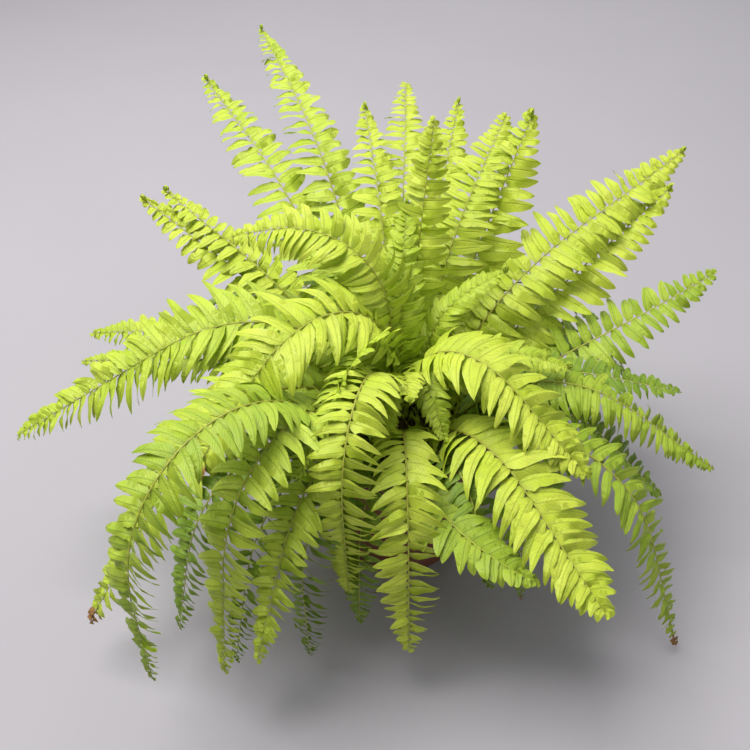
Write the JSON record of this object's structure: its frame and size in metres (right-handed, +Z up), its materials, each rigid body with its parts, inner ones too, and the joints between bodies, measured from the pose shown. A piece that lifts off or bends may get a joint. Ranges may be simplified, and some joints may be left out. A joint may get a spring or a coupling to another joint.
{
  "type": "potted fern",
  "caption": "Golden sword fern in a small tapered nursery pot: arching feathery fronds rise from a central crown and spill over the rim all round.",
  "frame": {"origin": "middle of the pot's flat underside, where it stands", "axes": "+Z up the pot and the plant, -Z out of the flat underside; +X to the right and -Y to the front of the plant, where its longest fronds hang over the rim"},
  "size_m": [0.3829, 0.3496, 0.242],
  "materials": {
    "terracotta_plastic": "moulded, red-brown, slightly satin",
    "potting_mix": "damp peat and bark crumbs",
    "rootstock": "scaly, dull brown",
    "leaf_bright": "living leaf, golden green, soft sheen",
    "leaf_fresh": "living leaf, yellow green, soft sheen",
    "leaf_shaded": "living leaf, deep green, dull",
    "leaf_young": "young living leaf, light green, soft sheen"
  },
  "bodies": {
    "root": {"arching_frond_01": "leaf_bright", "arching_frond_02": "leaf_bright", "arching_frond_03": "leaf_bright", "arching_frond_04": "leaf_bright", "arching_frond_05": "leaf_bright", "arching_frond_06": "leaf_bright", "arching_frond_07": "leaf_bright", "arching_frond_08": "leaf_bright", "arching_frond_09": "leaf_bright", "arching_frond_10": "leaf_bright", "arching_frond_11": "leaf_bright", "arching_frond_12": "leaf_bright", "arching_frond_13": "leaf_bright", "arching_frond_14": "leaf_bright", "hanging_frond_01": "leaf_shaded", "hanging_frond_02": "leaf_shaded", "hanging_frond_03": "leaf_shaded", "hanging_frond_04": "leaf_shaded", "hanging_frond_05": "leaf_shaded", "hanging_frond_06": "leaf_shaded", "hanging_frond_07": "leaf_shaded", "hanging_frond_08": "leaf_shaded", "hanging_frond_09": "leaf_shaded", "hanging_frond_10": "leaf_shaded", "hanging_frond_11": "leaf_shaded", "hanging_frond_12": "leaf_shaded", "hanging_frond_13": "leaf_shaded", "hanging_frond_14": "leaf_shaded", "hanging_frond_15": "leaf_shaded", "hanging_frond_16": "leaf_shaded", "hanging_frond_17": "leaf_shaded", "hanging_frond_18": "leaf_shaded", "hanging_frond_19": "leaf_shaded", "hanging_frond_20": "leaf_shaded", "pot": "terracotta_plastic", "potting_mix": "potting_mix", "rootstock_crown": "rootstock", "upright_frond_01": "leaf_fresh", "upright_frond_02": "leaf_fresh", "upright_frond_03": "leaf_fresh", "upright_frond_04": "leaf_fresh", "upright_frond_05": "leaf_fresh", "upright_frond_06": "leaf_fresh", "upright_frond_07": "leaf_fresh", "upright_frond_08": "leaf_fresh", "upright_frond_09": "leaf_fresh", "upright_frond_10": "leaf_fresh", "upright_frond_11": "leaf_fresh", "upright_frond_12": "leaf_fresh", "upright_frond_13": "leaf_fresh", "young_frond_01": "leaf_young", "young_frond_02": "leaf_young", "young_frond_03": "leaf_young", "young_frond_04": "leaf_young", "young_frond_05": "leaf_young", "young_frond_06": "leaf_young", "young_frond_07": "leaf_young", "young_frond_08": "leaf_young", "young_frond_09": "leaf_young", "young_frond_10": "leaf_young"}
  },
  "joints": []
}
